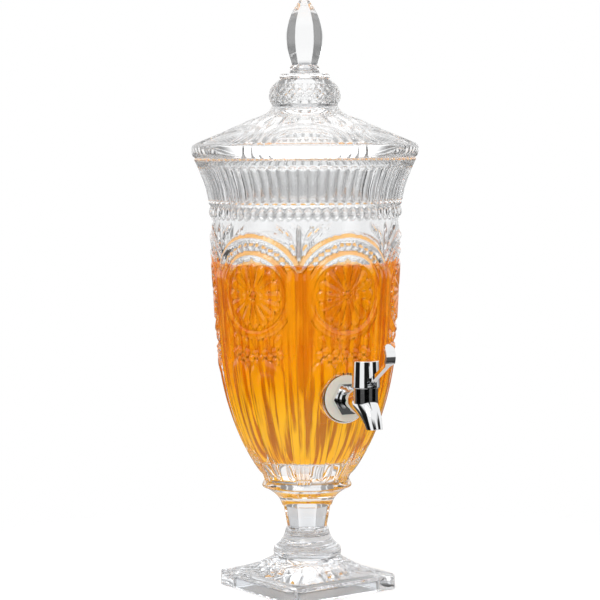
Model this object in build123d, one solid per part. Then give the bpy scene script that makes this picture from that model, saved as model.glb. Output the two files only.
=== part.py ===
from build123d import *
import os
from math import cos, radians, sin, sqrt, tan

# Driving dimensions, in millimetres and degrees.
# The origin is the middle of the plinth's underside, +Z is up and the tap faces -Y.
# Turns are counted about +Z from the tap.

# Square plinth with a hollow underside and a roof that sweeps up to the stem
PLINTH_SIDE = 113.0
PLINTH_HEIGHT = 13.5
PLINTH_CORNER = 3.0
PLINTH_TURN = 10.0
RECESS_MARGIN = 11.0
RECESS_CORNER = 8.0
RECESS_DEPTH = 8.0
ROOF_SHARES = (0, 0.3, 0.6, 0.85, 1)
ROOF_RISE = 15.0
ROOF_CORNER = 24.0

# Stem of the pedestal: ring, flare, faceted shaft, cup and collar
RING_RADIUS = 28.5
RING_BULGE = 1.7
RING_HEIGHT = 9.0
FLARE_HEIGHT = 17.0
FLARE_TOP_RADIUS = 19.0
FLARE_HOLLOW = 2.4
SHAFT_SIDES = 8
SHAFT_TURN = -26.0
SHAFT_LOW_FLAT = 17.2
SHAFT_HIGH_FLAT = 20.6
SHAFT_HEIGHT = 20.5
CUP_LOW_RADIUS = 22.4
CUP_HEIGHT = 17.0
CUP_HOLLOW = 2.2
COLLAR_RADIUS = 39.7
COLLAR_HEIGHT = 6.0
COLLAR_BULGE = 0.8
WELD_RADIUS = 36.8

# Bowl: outer radius at five heights. The foot, turn and belly are measured up from its weld to
# the pedestal, and the waist and shoulder by how far the rim stands above them.
BOWL_HEIGHT = 285.0
FOOT_HEIGHT = 20.0
FOOT_RADIUS = 50.2
TURN_HEIGHT = 52.0
TURN_RADIUS = 64.8
BELLY_HEIGHT = 94.0
BELLY_RADIUS = 76.0
WAIST_HEIGHT = 127.0
WAIST_RADIUS = 81.6
SHOULDER_HEIGHT = 52.0
SHOULDER_RADIUS = 85.2
RIM_RADIUS = 98.0
RIM_WALL = 6.0
LIP_ROUND = 1.2
BOWL_WALL = 5.0
FLOOR_THICKNESS = 20.0
FLOOR_RADIUS = 37.0

# Flat seat for the tap, moulded into the bowl's wall
TAP_RISE = 80.0
BOSS_RADIUS = 22.0
BOSS_PROUD = 3.5
BOSS_ROUND = 1.5
SEAT_THICKNESS = 12.0
PAD_RADIUS = 16.0
HOLE_CLEARANCE = 0.3
JOINT_MARGIN = 8.0

# Lid: heights above the bowl's rim
LID_RADIUS = 100.2
LID_EDGE_HEIGHT = 7.0
LID_EDGE_BULGE = 0.8
LID_BROW_RADIUS = 97.5
LID_BROW_HEIGHT = 12.5
DOME_MID_RADIUS = 61.3
DOME_MID_HEIGHT = 28.2
DOME_TOP_RADIUS = 37.0
DOME_TOP_HEIGHT = 38.8
CROWN_LOW_RADIUS = 29.0
CROWN_LOW_HEIGHT = 46.5
CROWN_TOP_RADIUS = 23.5
CROWN_TOP_HEIGHT = 68.0
CROWN_BULGE = 5.0
DISC_RADIUS = 21.3
DISC_HEIGHT = 5.5
NECK_LOW_RADIUS = 13.4
NECK_TOP_RADIUS = 12.0
LID_NECK_HEIGHT = 7.5
LID_WALL = 6.0
LID_RING_DEPTH = 8.0
LID_RING_WALL = 5.0
LID_CLEARANCE = 0.8
LID_HOLLOW_RADIUS = 19.0

# Faceted finial, fused to the lid
FINIAL_SIDES = 6
FINIAL_TURN = -26.0
FINIAL_BASE_RADIUS = 11.2
FINIAL_BELLY_RADIUS = 16.4
FINIAL_BELLY_HEIGHT = 25.0
FINIAL_SHOULDER_RADIUS = 14.0
FINIAL_SHOULDER_HEIGHT = 38.0
FINIAL_EDGE_RADIUS = 9.2
FINIAL_EDGE_HEIGHT = 49.0
FINIAL_TIP_RADIUS = 1.0
FINIAL_HEIGHT = 63.0

# Tap shank and what clamps it: distances out from the face of the boss
SHANK_RADIUS = 7.9
SHANK_BORE = 4.4
SHANK_SPARE = 4.0
OUTER_WASHER_RADIUS = 20.0
OUTER_WASHER_THICKNESS = 2.5
INNER_WASHER_RADIUS = 14.0
INNER_WASHER_THICKNESS = 3.0
NUT_FLAT = 13.0
NUT_THICKNESS = 8.0
FLANGE_FLAT = 13.0
FLANGE_THICKNESS = 5.0
BARREL_COLLAR_RADIUS = 10.6
BARREL_COLLAR_LENGTH = 2.0

# Tap body: barrel, belly round the valve, and spout
BARREL_RADIUS = 8.8
BELLY_OF_TAP_RADIUS = 10.4
SPOUT_RADIUS = 9.2
OUTLET_RADIUS = 6.6
OUTLET_BORE = 4.6
CHANNEL_RADIUS = 3.4
SPOUT_REACH = 52.0
SPOUT_DROP = 20.5
SPOUT_TURN = 66.0
SPOUT_TAIL = 3.0
SPOUT_TRIM = 2.0
SPOUT_FULL_SHARE = 0.3
SPOUT_SLIM_SHARE = 0.65
VALVE_REACH = 37.0
CHAMBER_RADIUS = 6.6
SEAT_DROP = 1.5
SEAT_FLOOR = 1.6
PORT_RADIUS = 3.2
NECK_RADIUS = 10.35
NECK_TOP = 13.0
SPIGOT_RADIUS = 9.2
SPIGOT_WALL = 1.8
SPIGOT_HEIGHT = 5.2

# Cap over the valve
CAP_RADIUS = 12.0
CAP_TOP_RADIUS = 11.0
CAP_HEIGHT = 23.0
CAP_ROOF = 2.0
CAP_ROUND = 0.8
CAP_CLEARANCE = 0.1

# Lever and its pin
PIN_RADIUS = 1.1
PIN_OFFSET = 6.0
PIN_RISE = 2.8
PIN_SETBACK = 0.3
PIN_CLEARANCE = 0.05
HUB_RADIUS = 2.4
LEVER_WIDTH = 7.2
LEVER_SIDE_GAP = 0.4
LEVER_THICKNESS = 3.2
LEVER_LENGTH = 43.0
ARM_WIDTH = 4.4
ARM_TAPER = 13.0
ARM_FLARE = 5.0
LEVER_ANGLE = 31.5
LEVER_HEADROOM = 0.8
TAB_WIDTH = 8.6
TAB_THICKNESS = 2.8
TAB_CURL = 10.5
TAB_LOW_TURN = -25.0
TAB_HIGH_TURN = 60.0
FORK_GAP = 4.8
FORK_REACH = 6.5

# Valve: stem, stopper, gland, seal and closing spring
STEM_RADIUS = 2.0
STEM_CLEARANCE = 0.05
HEAD_RADIUS = 4.4
HEAD_THICKNESS = 2.0
HEAD_GAP = 0.35
GUIDE_RADIUS = 2.3
GUIDE_HEIGHT = 4.0
STOPPER_RADIUS = 5.2
STOPPER_THICKNESS = 4.5
STOPPER_SOCKET = 3.0
NOSE_LENGTH = 3.0
NOSE_CLEARANCE = 0.3
NOSE_TIP_RADIUS = 2.0
GLAND_LEDGE = 0.7
GLAND_THICKNESS = 3.2
SEAL_THICKNESS = 2.0
SPRING_RADIUS = 3.3
SPRING_WIRE = 0.4
SPRING_TURNS = 7
SPRING_SEAT_GAP = 0.1

# Levels that the pieces share, stacked from the table up
ring_level = PLINTH_HEIGHT + ROOF_RISE
flare_level = ring_level + RING_HEIGHT
shaft_level = flare_level + FLARE_HEIGHT
cup_level = shaft_level + SHAFT_HEIGHT
collar_level = cup_level + CUP_HEIGHT
bowl_level = collar_level + COLLAR_HEIGHT
rim_level = bowl_level + BOWL_HEIGHT
disc_level = rim_level + CROWN_TOP_HEIGHT
neck_level = disc_level + DISC_HEIGHT
finial_level = neck_level + LID_NECK_HEIGHT
tap_level = bowl_level + TAP_RISE
joint_level = tap_level + BOSS_RADIUS + JOINT_MARGIN


def turned(edges):
    """A solid of revolution about the vertical axis, from the edges of a closed half outline."""
    return revolve(Plane.XZ * make_face(edges), Axis.Z)


def outline_radius(outline, height):
    """Radius of a rising outline where it passes a height."""
    low, high = 0.0, 1.0
    for _ in range(40):
        middle = (low + high) / 2
        if (outline @ middle).Y < height:
            low = middle
        else:
            high = middle
    return (outline @ low).X


def rounded_square(side, corner, height):
    """A level square with round corners."""
    return Pos(0, 0, height) * RectangleRounded(side, side, corner)


def prism(sides, flat, turn):
    """A regular outline with one flat facing the given turn."""
    return RegularPolygon(flat, sides, major_radius=False, rotation=turn - 90 + 180 / sides)


def plinth():
    """The square slab, hollow below, under a roof that sweeps in to the foot of the stem."""
    slab = extrude(rounded_square(PLINTH_SIDE, PLINTH_CORNER, 0), PLINTH_HEIGHT)
    sections = []
    for share in ROOF_SHARES:
        side = PLINTH_SIDE + share * (2 * RING_RADIUS - PLINTH_SIDE)
        corner = PLINTH_CORNER + share * (ROOF_CORNER - PLINTH_CORNER)
        rise = ROOF_RISE * (share + share**3) / 2
        sections.append(rounded_square(side, corner, PLINTH_HEIGHT + rise))
    recess_side = PLINTH_SIDE - 2 * RECESS_MARGIN
    recess = extrude(rounded_square(recess_side, RECESS_CORNER, 0), RECESS_DEPTH)
    return Rot(0, 0, PLINTH_TURN) * (slab + loft(sections) - recess)


def pedestal():
    """Plinth and stem, pressed as one piece of glass."""
    lower = turned([
        Line((0, ring_level), (RING_RADIUS, ring_level)),
        SagittaArc((RING_RADIUS, ring_level), (RING_RADIUS, flare_level), -RING_BULGE),
        SagittaArc((RING_RADIUS, flare_level), (FLARE_TOP_RADIUS, shaft_level), FLARE_HOLLOW),
        Polyline((FLARE_TOP_RADIUS, shaft_level), (0, shaft_level), (0, ring_level)),
    ])
    shaft = loft([
        Pos(0, 0, shaft_level) * prism(SHAFT_SIDES, SHAFT_LOW_FLAT, SHAFT_TURN),
        Pos(0, 0, cup_level) * prism(SHAFT_SIDES, SHAFT_HIGH_FLAT, SHAFT_TURN),
    ])
    upper = turned([
        Line((0, cup_level), (CUP_LOW_RADIUS, cup_level)),
        SagittaArc((CUP_LOW_RADIUS, cup_level), (COLLAR_RADIUS, collar_level), CUP_HOLLOW),
        SagittaArc((COLLAR_RADIUS, collar_level), (WELD_RADIUS, bowl_level), -COLLAR_BULGE),
        Polyline((WELD_RADIUS, bowl_level), (0, bowl_level), (0, cup_level)),
    ])
    return plinth() + lower + shaft + upper


# The bowl's wall, as half outlines
outer_wall = Spline(
    (WELD_RADIUS, bowl_level),
    (FOOT_RADIUS, bowl_level + FOOT_HEIGHT),
    (TURN_RADIUS, bowl_level + TURN_HEIGHT),
    (BELLY_RADIUS, bowl_level + BELLY_HEIGHT),
    (WAIST_RADIUS, rim_level - WAIST_HEIGHT),
    (SHOULDER_RADIUS, rim_level - SHOULDER_HEIGHT),
    (RIM_RADIUS, rim_level - LIP_ROUND),
    tangents=[(0.8, 1), (0.5, 1)],
)
inner_wall = Spline(
    (FLOOR_RADIUS, bowl_level + FLOOR_THICKNESS),
    (TURN_RADIUS - BOWL_WALL, bowl_level + TURN_HEIGHT),
    (BELLY_RADIUS - BOWL_WALL, bowl_level + BELLY_HEIGHT),
    (WAIST_RADIUS - BOWL_WALL, rim_level - WAIST_HEIGHT),
    (SHOULDER_RADIUS - BOWL_WALL, rim_level - SHOULDER_HEIGHT),
    (RIM_RADIUS - RIM_WALL, rim_level),
    tangents=[(1, 0.6), (0.5, 1)],
)
boss_face = outline_radius(outer_wall, tap_level) + BOSS_PROUD
tap_place = Pos(0, -boss_face, tap_level)


def bar(radius, start, end):
    """A round bar along the shank, between two distances out from the face of the boss."""
    return Pos(0, -(start + end) / 2, 0) * Cylinder(radius, end - start, rotation=(90, 0, 0))


def hex_bar(flat, start, end):
    """A six-sided bar along the shank, with flats above and below."""
    section = Plane((0, -start, 0), x_dir=(1, 0, 0), z_dir=(0, -1, 0)) * prism(6, flat, 0)
    return extrude(section, end - start)


def post(radius, bottom, top):
    """A round post on the valve's axis, between two heights over the shank."""
    return Pos(0, -VALVE_REACH, (bottom + top) / 2) * Cylinder(radius, top - bottom)


def whole_bowl():
    """The drink's bowl, with a flat boss outside and a flat pad inside where the tap goes through."""
    outside = turned([
        outer_wall,
        SagittaArc((RIM_RADIUS, rim_level - LIP_ROUND), (RIM_RADIUS - LIP_ROUND, rim_level),
                   -LIP_ROUND * (1 - cos(radians(45)))),
        Polyline((RIM_RADIUS - LIP_ROUND, rim_level), (0, rim_level), (0, bowl_level),
                 (WELD_RADIUS, bowl_level)),
    ])
    floor_level = bowl_level + FLOOR_THICKNESS
    inside = turned([
        inner_wall,
        Polyline((RIM_RADIUS - RIM_WALL, rim_level), (0, rim_level), (0, floor_level),
                 (FLOOR_RADIUS, floor_level)),
    ])
    boss = bar(BOSS_RADIUS, -SEAT_THICKNESS, 0)
    boss = fillet(boss.edges().sort_by(Axis.Y)[:1], BOSS_ROUND)
    spot_face = bar(BOSS_RADIUS, 0, 2 * BOSS_RADIUS)
    pad = bar(PAD_RADIUS, -SEAT_THICKNESS, 0)
    pad_face = bar(PAD_RADIUS, -SEAT_THICKNESS - PAD_RADIUS, -SEAT_THICKNESS)
    hole = bar(SHANK_RADIUS + HOLE_CLEARANCE, -2 * SEAT_THICKNESS, 2 * SEAT_THICKNESS)
    shell = outside + tap_place * boss - tap_place * spot_face
    return shell - inside + tap_place * pad - tap_place * pad_face - tap_place * hole


def lid():
    """The lid: a low dome over a ring that drops into the bowl's mouth, with a crown, a disc and a neck."""
    ring_level_low = rim_level - LID_RING_DEPTH
    ring_outer = outline_radius(inner_wall, ring_level_low) - LID_CLEARANCE
    ring_inner = ring_outer - LID_RING_WALL
    seat_edge = RIM_RADIUS - LIP_ROUND
    edge = (LID_RADIUS, rim_level + LID_EDGE_HEIGHT)
    brow = (LID_BROW_RADIUS, rim_level + LID_BROW_HEIGHT)
    dome_mid = (DOME_MID_RADIUS, rim_level + DOME_MID_HEIGHT)
    dome_top = (DOME_TOP_RADIUS, rim_level + DOME_TOP_HEIGHT)
    crown_low = (CROWN_LOW_RADIUS, rim_level + CROWN_LOW_HEIGHT)
    crown_top = (CROWN_TOP_RADIUS, disc_level)
    outside = turned([
        Polyline((0, ring_level_low), (ring_outer, ring_level_low), (ring_outer, rim_level),
                 (seat_edge, rim_level)),
        SagittaArc((seat_edge, rim_level), edge, -LID_EDGE_BULGE),
        SagittaArc(edge, brow, -LID_EDGE_BULGE),
        Spline(brow, dome_mid, dome_top, crown_low, tangents=[(-2, 1), (-0.5, 1)]),
        SagittaArc(crown_low, crown_top, -CROWN_BULGE),
        Line(crown_top, (DISC_RADIUS, disc_level)),
        SagittaArc((DISC_RADIUS, disc_level), (DISC_RADIUS, neck_level), -DISC_HEIGHT / 4),
        Polyline((DISC_RADIUS, neck_level), (NECK_LOW_RADIUS, neck_level),
                 (NECK_TOP_RADIUS, finial_level), (0, finial_level), (0, ring_level_low)),
    ])
    hollow_edge = (ring_inner, rim_level + LID_BROW_HEIGHT - LID_WALL)
    hollow_mid = (DOME_MID_RADIUS, dome_mid[1] - LID_WALL)
    hollow_top = (LID_HOLLOW_RADIUS, crown_low[1] - LID_WALL)
    hollow = turned([
        Polyline((0, ring_level_low), (ring_inner, ring_level_low), hollow_edge, hollow_mid,
                 hollow_top, (0, hollow_top[1]), (0, ring_level_low)),
    ])
    return outside - hollow


def finial():
    """The six-sided drop that the lid is lifted by."""
    def section(radius, height):
        flat = radius * cos(radians(180 / FINIAL_SIDES))
        return Pos(0, 0, finial_level + height) * prism(FINIAL_SIDES, flat, FINIAL_TURN)
    body = loft([
        section(FINIAL_BASE_RADIUS, 0),
        section(FINIAL_BELLY_RADIUS, FINIAL_BELLY_HEIGHT),
        section(FINIAL_SHOULDER_RADIUS, FINIAL_SHOULDER_HEIGHT),
        section(FINIAL_EDGE_RADIUS, FINIAL_EDGE_HEIGHT),
    ])
    tip = loft([
        section(FINIAL_EDGE_RADIUS, FINIAL_EDGE_HEIGHT),
        section(FINIAL_TIP_RADIUS, FINIAL_HEIGHT),
    ])
    return body + tip


# Where the tap's pieces meet, along the shank and over it
flange_end = OUTER_WASHER_THICKNESS + FLANGE_THICKNESS
barrel_start = flange_end + BARREL_COLLAR_LENGTH
nut_start = -SEAT_THICKNESS - INNER_WASHER_THICKNESS
shank_end = nut_start - NUT_THICKNESS - SHANK_SPARE
bend_radius = (SPOUT_DROP - SPOUT_TAIL) / (1 - cos(radians(SPOUT_TURN)))
bend_start = SPOUT_REACH - SPOUT_TAIL / tan(radians(SPOUT_TURN)) - bend_radius * sin(radians(SPOUT_TURN))
cap_bore = SPIGOT_RADIUS + CAP_CLEARANCE
gland_level = NECK_TOP - GLAND_THICKNESS
pin_reach = VALVE_REACH + PIN_OFFSET
pin_level = NECK_TOP + PIN_RISE
lever_slot = LEVER_WIDTH + 2 * LEVER_SIDE_GAP
head_level = pin_level + LEVER_THICKNESS / 2 + HEAD_GAP
head_top = head_level + HEAD_THICKNESS
cap_ceiling = NECK_TOP + CAP_HEIGHT - CAP_ROOF


def outer_washer():
    """Soft washer between the boss and the tap's flange."""
    ring = bar(OUTER_WASHER_RADIUS, 0, OUTER_WASHER_THICKNESS)
    return ring - bar(SHANK_RADIUS, 0, OUTER_WASHER_THICKNESS)


def inner_washer():
    """Soft washer between the pad inside the bowl and the nut."""
    ring = bar(INNER_WASHER_RADIUS, nut_start, -SEAT_THICKNESS)
    return ring - bar(SHANK_RADIUS, nut_start, -SEAT_THICKNESS)


def lock_nut():
    """Nut on the shank, inside the bowl."""
    nut = hex_bar(NUT_FLAT, nut_start - NUT_THICKNESS, nut_start)
    return nut - bar(SHANK_RADIUS, nut_start - NUT_THICKNESS, nut_start)


def spout_station(turn, further=0):
    """The plane across the spout's centre line where it has turned down by an angle."""
    angle = radians(turn)
    centre = (0, -bend_start - bend_radius * sin(angle), -bend_radius * (1 - cos(angle)))
    return Plane(centre, x_dir=(1, 0, 0), z_dir=(0, -cos(angle), -sin(angle))).offset(further)


def tap_body():
    """Shank, flange, barrel, valve neck and spout, moulded in one, with the drink's way through."""
    tail = SPOUT_TAIL / sin(radians(SPOUT_TURN)) + SPOUT_TRIM
    skin = loft([
        Plane((0, -barrel_start, 0), x_dir=(1, 0, 0), z_dir=(0, -1, 0)) * Circle(BARREL_RADIUS),
        spout_station(0) * Circle(BELLY_OF_TAP_RADIUS),
        spout_station(SPOUT_TURN * SPOUT_FULL_SHARE) * Circle(BELLY_OF_TAP_RADIUS),
        spout_station(SPOUT_TURN * SPOUT_SLIM_SHARE) * Circle(SPOUT_RADIUS),
        spout_station(SPOUT_TURN, tail) * Circle(OUTLET_RADIUS),
    ])
    below = Pos(0, -SPOUT_REACH, -SPOUT_DROP) * Box(
        4 * SPOUT_RADIUS, 4 * SPOUT_RADIUS, 4 * SPOUT_RADIUS, align=(Align.CENTER, Align.CENTER, Align.MAX))
    spigot = post(SPIGOT_RADIUS, NECK_TOP, NECK_TOP + SPIGOT_HEIGHT)
    spigot -= post(SPIGOT_RADIUS - SPIGOT_WALL, NECK_TOP, NECK_TOP + SPIGOT_HEIGHT)
    spigot -= Pos(0, -VALVE_REACH, NECK_TOP) * Box(
        lever_slot, 2 * NECK_RADIUS, 2 * SPIGOT_HEIGHT, align=(Align.CENTER, Align.MAX, Align.CENTER))
    body = skin - below
    body += bar(SHANK_RADIUS, shank_end, flange_end)
    body += hex_bar(FLANGE_FLAT, OUTER_WASHER_THICKNESS, flange_end)
    body += bar(BARREL_COLLAR_RADIUS, flange_end, barrel_start)
    body += post(NECK_RADIUS, 0, NECK_TOP) + spigot

    link = spout_station(SPOUT_TURN * SPOUT_SLIM_SHARE)
    link_level = -SEAT_DROP - SEAT_FLOOR - CHANNEL_RADIUS
    link_start = Vector(0, -VALVE_REACH, link_level)
    link_way = link.origin - link_start
    ways = bar(SHANK_BORE, shank_end, VALVE_REACH - CHAMBER_RADIUS + GLAND_LEDGE)
    ways += post(CHAMBER_RADIUS, -SEAT_DROP, NECK_TOP)
    ways += post(CHAMBER_RADIUS + GLAND_LEDGE, gland_level, NECK_TOP)
    ways += post(PORT_RADIUS, link_level, -SEAT_DROP)
    ways += Plane(link_start, z_dir=link_way) * Cylinder(
        CHANNEL_RADIUS, link_way.length, align=(Align.CENTER, Align.CENTER, Align.MIN))
    ways += Pos(link_start) * Sphere(CHANNEL_RADIUS) + Pos(link.origin) * Sphere(CHANNEL_RADIUS)
    mouth_way = spout_station(SPOUT_TURN, tail).origin - link.origin
    ways += Plane(link.origin, z_dir=mouth_way) * Cone(
        CHANNEL_RADIUS, OUTLET_BORE, mouth_way.length, align=(Align.CENTER, Align.CENTER, Align.MIN))
    pin_hole = Pos(0, -pin_reach, pin_level) * Cylinder(PIN_RADIUS, 4 * SPIGOT_RADIUS, rotation=(0, 90, 0))
    return body - ways - pin_hole


def tap_cap():
    """Tapered cap over the valve, open at the front where the lever comes out."""
    shell = Pos(0, -VALVE_REACH, NECK_TOP + CAP_HEIGHT / 2) * Cone(CAP_RADIUS, CAP_TOP_RADIUS, CAP_HEIGHT)
    shell = fillet(shell.edges().filter_by(GeomType.CIRCLE), CAP_ROUND)
    lift = (CAP_RADIUS - PIN_OFFSET) * tan(radians(LEVER_ANGLE))
    slot_top = pin_level + lift + LEVER_THICKNESS / 2 / cos(radians(LEVER_ANGLE)) + LEVER_HEADROOM
    slot = Pos(0, -VALVE_REACH, NECK_TOP) * Box(
        lever_slot, 2 * CAP_RADIUS, slot_top - NECK_TOP, align=(Align.CENTER, Align.MAX, Align.MIN))
    return shell - post(cap_bore, NECK_TOP, cap_ceiling) - slot


def lever():
    """Thumb lever: a fork round the stem, a hub on the pin, an arm and an upturned tab."""
    across = (Align.CENTER, Align.MAX, Align.CENTER)
    hub = Cylinder(HUB_RADIUS, LEVER_WIDTH, rotation=(0, 90, 0))
    side = [(LEVER_WIDTH / 2, 0), (ARM_WIDTH / 2, -ARM_TAPER), (ARM_WIDTH / 2, ARM_FLARE - LEVER_LENGTH),
            (TAB_WIDTH / 2, -LEVER_LENGTH)]
    arm_plan = make_face(Polyline(*side, *[(-x, y) for x, y in reversed(side)], side[0]))
    arm = extrude(arm_plan, LEVER_THICKNESS / 2, both=True)
    heel = Pos(0, -LEVER_LENGTH, 0) * Cylinder(LEVER_THICKNESS / 2, TAB_WIDTH, rotation=(0, 90, 0))
    raised = Rot(-LEVER_ANGLE, 0, 0) * (arm + heel)
    low = radians(TAB_LOW_TURN)
    middle = (TAB_CURL * cos(low) - LEVER_LENGTH * cos(radians(LEVER_ANGLE)),
              LEVER_LENGTH * sin(radians(LEVER_ANGLE)) - TAB_CURL * sin(low))
    front, back = (CenterArc(middle, TAB_CURL + step, 180 - TAB_HIGH_TURN, TAB_HIGH_TURN - TAB_LOW_TURN)
                   for step in (TAB_THICKNESS / 2, -TAB_THICKNESS / 2))
    curl = make_face([front, Line(front @ 1, back @ 1), back, Line(back @ 0, front @ 0)])
    crest = Pos(0, (front @ 0).Y - TAB_WIDTH / 2) * Circle(TAB_WIDTH / 2)
    crest += Pos(0, (front @ 0).Y - TAB_WIDTH / 2) * Rectangle(
        TAB_WIDTH, 2 * TAB_CURL, align=(Align.CENTER, Align.MAX))
    tab = extrude(Plane.YZ * curl, TAB_WIDTH / 2, both=True)
    tab &= extrude(Plane.XZ * crest, LEVER_LENGTH, both=True)
    raised += tab
    fork = Box(LEVER_WIDTH, FORK_REACH, LEVER_THICKNESS, align=(Align.CENTER, Align.MIN, Align.CENTER))
    fork -= Pos(0, HUB_RADIUS, 0) * Box(
        FORK_GAP, FORK_REACH, 2 * LEVER_THICKNESS, align=(Align.CENTER, Align.MIN, Align.CENTER))
    eye = Cylinder(PIN_RADIUS + PIN_CLEARANCE, 2 * LEVER_WIDTH, rotation=(0, 90, 0))
    return Pos(0, -pin_reach, pin_level) * (hub + raised + fork - eye)


def lever_pin():
    """Pin across the two ends of the spigot, through the lever's hub."""
    half = sqrt(SPIGOT_RADIUS**2 - (PIN_OFFSET + PIN_RADIUS)**2) - PIN_SETBACK
    return Pos(0, -pin_reach, pin_level) * Cylinder(PIN_RADIUS, 2 * half, rotation=(0, 90, 0))


def valve_stem():
    """Rod with a head that the fork lifts, and a stub that keeps the spring centred."""
    foot = -SEAT_DROP + STOPPER_THICKNESS - STOPPER_SOCKET
    stem = post(STEM_RADIUS, foot, head_level) + post(HEAD_RADIUS, head_level, head_top)
    return stem + post(GUIDE_RADIUS, head_top, head_top + GUIDE_HEIGHT)


def stopper():
    """Soft plug that rests on the valve seat, with a nose in the port."""
    top = -SEAT_DROP + STOPPER_THICKNESS
    plug = post(STOPPER_RADIUS, -SEAT_DROP, top) - post(STEM_RADIUS, top - STOPPER_SOCKET, top)
    nose = Cone(NOSE_TIP_RADIUS, PORT_RADIUS - NOSE_CLEARANCE, NOSE_LENGTH)
    return plug + Pos(0, -VALVE_REACH, -SEAT_DROP - NOSE_LENGTH / 2) * nose


def stem_gland():
    """Bush that closes the top of the valve chamber and guides the stem."""
    bush = post(CHAMBER_RADIUS + GLAND_LEDGE, gland_level, NECK_TOP)
    return bush - post(STEM_RADIUS + STEM_CLEARANCE, gland_level, NECK_TOP)


def stem_seal():
    """Soft ring under the gland that keeps the drink out of the cap."""
    ring = post(CHAMBER_RADIUS, gland_level - SEAL_THICKNESS, gland_level)
    return ring - post(STEM_RADIUS + STEM_CLEARANCE, gland_level - SEAL_THICKNESS, gland_level)


def closing_spring():
    """Coil between the stem's head and the cap's ceiling, which pushes the stopper shut."""
    bottom = head_top + SPRING_SEAT_GAP + SPRING_WIRE
    height = cap_ceiling - SPRING_SEAT_GAP - SPRING_WIRE - bottom
    coil = Helix(height / SPRING_TURNS, height, SPRING_RADIUS)
    wire = Plane(coil @ 0, z_dir=coil % 0) * Circle(SPRING_WIRE)
    return Pos(0, -VALVE_REACH, bottom) * sweep(wire, path=coil, is_frenet=True)


# The bowl's glass is one piece. It is held as two, which meet in a level face over the tap's boss.
joint = Plane.XY.offset(joint_level)
bowl_glass = whole_bowl()
glass = {
    "pedestal": pedestal(),
    "bowl_base": split(bowl_glass, joint, keep=Keep.BOTTOM),
    "bowl": split(bowl_glass, joint, keep=Keep.TOP),
    "lid": lid(),
    "finial": finial(),
}
tap = [outer_washer, inner_washer, lock_nut, tap_body, tap_cap, lever, lever_pin,
       valve_stem, stopper, stem_gland, stem_seal, closing_spring]

os.makedirs("parts", exist_ok=True)
for name, shape in glass.items():
    export_step(shape, f"parts/{name}.step")
for make in tap:
    export_step(tap_place * make(), f"parts/{make.__name__}.step")

print("boss face out from the axis", round(boss_face, 3), "tap level", round(tap_level, 3))
print("lever pin out and up", round(boss_face + pin_reach, 3), round(tap_level + pin_level, 3))
print("rim level", rim_level, "finial level", finial_level, "overall", finial_level + FINIAL_HEIGHT)
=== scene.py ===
import math

import bmesh
import bpy
import numpy as np
from mathutils import Matrix, Vector


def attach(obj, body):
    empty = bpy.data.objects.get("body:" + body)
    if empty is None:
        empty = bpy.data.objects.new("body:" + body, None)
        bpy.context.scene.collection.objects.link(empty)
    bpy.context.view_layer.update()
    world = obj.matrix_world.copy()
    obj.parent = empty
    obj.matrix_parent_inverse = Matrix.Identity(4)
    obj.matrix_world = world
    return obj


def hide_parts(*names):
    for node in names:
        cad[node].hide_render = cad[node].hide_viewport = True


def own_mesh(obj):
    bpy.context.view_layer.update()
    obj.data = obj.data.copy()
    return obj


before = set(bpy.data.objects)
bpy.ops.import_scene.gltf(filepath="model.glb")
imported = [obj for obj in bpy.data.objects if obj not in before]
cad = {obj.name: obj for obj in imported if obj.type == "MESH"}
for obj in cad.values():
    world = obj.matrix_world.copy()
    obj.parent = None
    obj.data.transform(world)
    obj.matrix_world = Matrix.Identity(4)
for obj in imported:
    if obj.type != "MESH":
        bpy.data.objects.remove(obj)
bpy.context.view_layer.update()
scene = bpy.context.scene
scene.view_settings.view_transform = "Standard"

# Pedestal: the clear pressed-glass foot, a square plinth with a grooved roof, a ring, an eight-sided shaft
# and a cup, welded to the bowl while hot. Its underside is hollow, so that only a frame rests on the table.
# Sizes are in millimetres until a mesh is made, and turns are counted about +Z from the tap.
FOOT_COLUMNS = 264


def smooth(low, high, value):
    """A soft step from 0 at low to 1 at high."""
    share = np.clip((value - low) / (high - low), 0, 1)
    return share * share * (3 - 2 * share)


def repeat(turn, count):
    """Where a turn in degrees lies in one of so many equal parts, from -0.5 to 0.5 about its middle."""
    part = turn * count / 360
    return part - np.round(part)


PLINTH_HALF = 56.5
PLINTH_HEIGHT = 13.5
PLINTH_CORNER = 3.0
PLINTH_TURN = 10.0
PLINTH_EDGE = 0.9
RECESS_MARGIN = 11.0
RECESS_CORNER = 8.0
RECESS_DEPTH = 8.0
RING_LEVEL = 28.5
RING_RADIUS = 28.5
CORNER_COLUMNS = 8


def square_ring(half, corner, level, lift=None):
    """A level ring round a square with round corners, with enough points on each corner."""
    quarter = FOOT_COLUMNS // 4
    arc = corner * math.pi / 4
    straight = 2 * (half - corner)
    stops = [0, CORNER_COLUMNS / 2, quarter - CORNER_COLUMNS / 2, quarter]
    along = np.interp(np.arange(quarter), stops, [0, arc, arc + straight, 2 * arc + straight])
    angle = np.where(along < arc, along / corner - math.pi / 4,
                     np.where(along > arc + straight, (along - arc - straight) / corner, 0))
    side = np.where(along < arc, corner - half + corner * np.sin(angle),
                    np.where(along > arc + straight, half - corner + corner * np.sin(angle),
                             along - arc - (half - corner)))
    out = np.where((along < arc) | (along > arc + straight), half - corner + corner * np.cos(angle), half)
    ring = []
    for k in range(4):
        turn = math.radians(PLINTH_TURN + 90 * k)
        x = out * math.sin(turn) + side * math.cos(turn)
        y = -out * math.cos(turn) + side * math.sin(turn)
        ring.append(np.stack([x, y, np.full(quarter, float(level))], axis=1))
    ring = np.roll(np.vstack(ring), round((PLINTH_TURN - 45) / 360 * FOOT_COLUMNS), axis=0)
    if lift is not None:
        ring[:, 2] += lift(ring)
    return ring


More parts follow.
